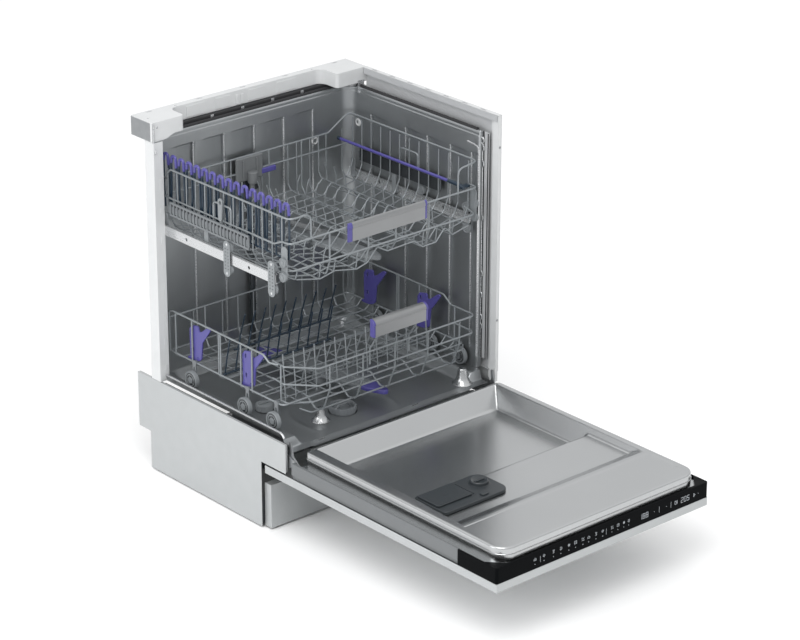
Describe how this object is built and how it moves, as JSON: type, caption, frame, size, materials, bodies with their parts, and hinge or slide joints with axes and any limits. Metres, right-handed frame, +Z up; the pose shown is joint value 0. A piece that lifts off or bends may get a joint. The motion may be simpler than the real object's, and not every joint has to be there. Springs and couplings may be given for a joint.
{
  "type": "built-in dishwasher",
  "caption": "Built-in dishwasher as a side-open display cutaway: stainless tub with two wire racks on rollers and rails, spray arms, and a drop-down door with controls along its edge.",
  "frame": {"origin": "centre of the open appliance's footprint on the floor, under its bounding box", "axes": "+Z up, -Y to the front where the door opens, +X to the right seen from the front"},
  "size_m": [0.598, 1.16, 0.818],
  "materials": {
    "silver": "fine silver-grey satin paint",
    "white": "satin white enamel on sheet steel",
    "steel": "satin stainless sheet, dark in the shade of the tub",
    "bright_steel": "bright satin stainless sheet",
    "rail_steel": "bright stainless strip",
    "hinge_steel": "dark phosphated steel",
    "iron": "rough cast block",
    "grey_plastic": "matt grey moulding",
    "dark_plastic": "matt black moulding",
    "black_gloss": "polished black",
    "slate": "satin dark slate moulding",
    "violet": "satin violet moulding",
    "navy": "dark navy coating",
    "wire": "grey nylon-coated steel wire",
    "rubber": "black seal rubber",
    "handle_aluminium": "brushed aluminium"
  },
  "bodies": {
    "cabinet": {"base_side_left": "silver", "base_side_right": "silver", "base_tray": "dark_plastic", "kick_plate": "silver", "foot_front_left": "dark_plastic", "foot_front_right": "dark_plastic", "foot_rear": "dark_plastic", "counterweight": "iron", "sump": "grey_plastic", "water_softener": "grey_plastic", "tub_rear_wall": "steel", "tub_right_wall": "steel", "tub_floor": "steel", "door_seal": "rubber", "feed_pipe": "grey_plastic", "rear_beam": "white", "rear_left_post": "white", "front_right_post": "white", "right_side_panel": "white", "hinge_bracket_left": "hinge_steel", "hinge_bracket_right": "hinge_steel", "roller_bracket_left_front": "grey_plastic", "roller_bracket_left_rear": "grey_plastic", "roller_bracket_right_front": "grey_plastic", "roller_bracket_right_rear": "grey_plastic"},
    "door": {"door_front_panel": "silver", "door_frame": "grey_plastic", "door_liner": "bright_steel", "control_panel": "black_gloss", "dispenser_body": "slate", "hinge_arm_left": "hinge_steel", "hinge_arm_right": "hinge_steel"},
    "detergent_lid": {"dispenser_lid": "slate"},
    "rinse_aid_cap": {"rinse_aid_cap": "slate"},
    "rails": {"rail_left": "rail_steel", "rail_right": "rail_steel"},
    "upper_rack": {"upper_basket": "wire", "upper_handle": "handle_aluminium", "height_adjuster_left": "grey_plastic", "height_adjuster_right": "grey_plastic"},
    "height_lever": {"adjuster_lever": "grey_plastic"},
    "glass_comb": {"glass_comb": "violet"},
    "upper_spray_arm": {"upper_spray_arm": "grey_plastic"},
    "lower_rack": {"lower_basket": "wire", "lower_handle": "handle_aluminium"},
    "folding_tines_rear": {"tine_row_rear": "navy"},
    "folding_tines_front": {"tine_row_front": "navy"},
    "lower_spray_arm": {"lower_spray_arm": "grey_plastic"},
    "filter": {"filter_cylinder": "grey_plastic"},
    "salt_cap": {"salt_cap": "grey_plastic"},
    "wheel_left_1": {"wheel_left_1": "grey_plastic"},
    "wheel_left_2": {"wheel_left_2": "grey_plastic"},
    "wheel_left_3": {"wheel_left_3": "grey_plastic"},
    "wheel_right_1": {"wheel_right_1": "grey_plastic"},
    "wheel_right_2": {"wheel_right_2": "grey_plastic"},
    "wheel_right_3": {"wheel_right_3": "grey_plastic"},
    "tray_holder_left_1": {"tray_holder_left_1": "violet"},
    "tray_holder_left_2": {"tray_holder_left_2": "violet"},
    "tray_holder_right_1": {"tray_holder_right_1": "violet"},
    "tray_holder_right_2": {"tray_holder_right_2": "violet"}
  },
  "joints": [
    {"name": "door_hinge", "type": "hinge", "parent": "cabinet", "child": "door", "pos_m": [0, 0.0517, 0.1833], "axis": [-1, 0, 0], "range_deg": [0, 90]},
    {"name": "detergent_lid_hinge", "type": "hinge", "parent": "door", "child": "detergent_lid", "pos_m": [-0.186, -0.2695, 0.207], "axis": [-1, 0, 0], "range_deg": [0, 100]},
    {"name": "rinse_aid_cap_turn", "type": "hinge", "parent": "door", "child": "rinse_aid_cap", "pos_m": [-0.09, -0.3025, 0.209], "axis": [0, 0, 1], "range_deg": [0, 90]},
    {"name": "rail_slide", "type": "slide", "parent": "cabinet", "child": "rails", "axis": [0, 1, 0], "range_m": [-0.21, 0]},
    {"name": "upper_rack_slide", "type": "slide", "parent": "rails", "child": "upper_rack", "axis": [0, 1, 0], "range_m": [-0.21, 0]},
    {"name": "height_lever_pivot", "type": "hinge", "parent": "upper_rack", "child": "height_lever", "pos_m": [-0.2651, 0.3165, 0.648], "axis": [1, 0, 0], "range_deg": [-12, 0]},
    {"name": "glass_comb_fold", "type": "hinge", "parent": "upper_rack", "child": "glass_comb", "pos_m": [-0.2513, 0.3165, 0.614], "axis": [0, -1, 0], "range_deg": [-90, 0]},
    {"name": "upper_spray_arm_spin", "type": "hinge", "parent": "upper_rack", "child": "upper_spray_arm", "pos_m": [0, 0.3065, 0.536], "axis": [0, 0, 1], "continuous": true},
    {"name": "lower_rack_slide", "type": "slide", "parent": "cabinet", "child": "lower_rack", "axis": [0, 1, 0], "range_m": [-0.45, 0]},
    {"name": "wheel_left_1_spin", "type": "hinge", "parent": "lower_rack", "child": "wheel_left_1", "pos_m": [-0.2651, 0.1465, 0.242], "axis": [1, 0, 0], "continuous": true},
    {"name": "wheel_left_2_spin", "type": "hinge", "parent": "lower_rack", "child": "wheel_left_2", "pos_m": [-0.2651, 0.2435, 0.242], "axis": [1, 0, 0], "continuous": true},
    {"name": "wheel_left_3_spin", "type": "hinge", "parent": "lower_rack", "child": "wheel_left_3", "pos_m": [-0.2651, 0.4275, 0.242], "axis": [1, 0, 0], "continuous": true},
    {"name": "wheel_right_1_spin", "type": "hinge", "parent": "lower_rack", "child": "wheel_right_1", "pos_m": [0.2651, 0.1465, 0.242], "axis": [1, 0, 0], "continuous": true},
    {"name": "wheel_right_2_spin", "type": "hinge", "parent": "lower_rack", "child": "wheel_right_2", "pos_m": [0.2651, 0.2435, 0.242], "axis": [1, 0, 0], "continuous": true},
    {"name": "wheel_right_3_spin", "type": "hinge", "parent": "lower_rack", "child": "wheel_right_3", "pos_m": [0.2651, 0.4275, 0.242], "axis": [1, 0, 0], "continuous": true},
    {"name": "tray_holder_left_1_fold", "type": "hinge", "parent": "lower_rack", "child": "tray_holder_left_1", "pos_m": [-0.2486, 0.2535, 0.2806], "axis": [0, -1, 0], "range_deg": [-88, 0]},
    {"name": "tray_holder_left_2_fold", "type": "hinge", "parent": "lower_rack", "child": "tray_holder_left_2", "pos_m": [-0.2486, 0.4365, 0.2806], "axis": [0, -1, 0], "range_deg": [-88, 0]},
    {"name": "tray_holder_right_1_fold", "type": "hinge", "parent": "lower_rack", "child": "tray_holder_right_1", "pos_m": [0.2486, 0.2535, 0.2806], "axis": [0, 1, 0], "range_deg": [-88, 0]},
    {"name": "tray_holder_right_2_fold", "type": "hinge", "parent": "lower_rack", "child": "tray_holder_right_2", "pos_m": [0.2486, 0.4365, 0.2806], "axis": [0, 1, 0], "range_deg": [-88, 0]},
    {"name": "tine_rear_fold", "type": "hinge", "parent": "lower_rack", "child": "folding_tines_rear", "pos_m": [0, 0.4375, 0.2735], "axis": [-1, 0, 0], "range_deg": [-66, 0]},
    {"name": "tine_front_fold", "type": "hinge", "parent": "lower_rack", "child": "folding_tines_front", "pos_m": [0, 0.3465, 0.2735], "axis": [-1, 0, 0], "range_deg": [-60, 0]},
    {"name": "lower_spray_arm_spin", "type": "hinge", "parent": "cabinet", "child": "lower_spray_arm", "pos_m": [0, 0.3065, 0.229], "axis": [0, 0, 1], "continuous": true},
    {"name": "filter_turn", "type": "hinge", "parent": "cabinet", "child": "filter", "pos_m": [-0.061, 0.1625, 0.205], "axis": [0, 0, 1], "range_deg": [0, 90]},
    {"name": "salt_cap_turn", "type": "hinge", "parent": "cabinet", "child": "salt_cap", "pos_m": [-0.188, 0.2735, 0.21], "axis": [0, 0, 1], "range_deg": [0, 180]}
  ],
  "couplings": [
    {"joint": "upper_rack_slide", "follows": "rail_slide", "ratio": 1}
  ]
}
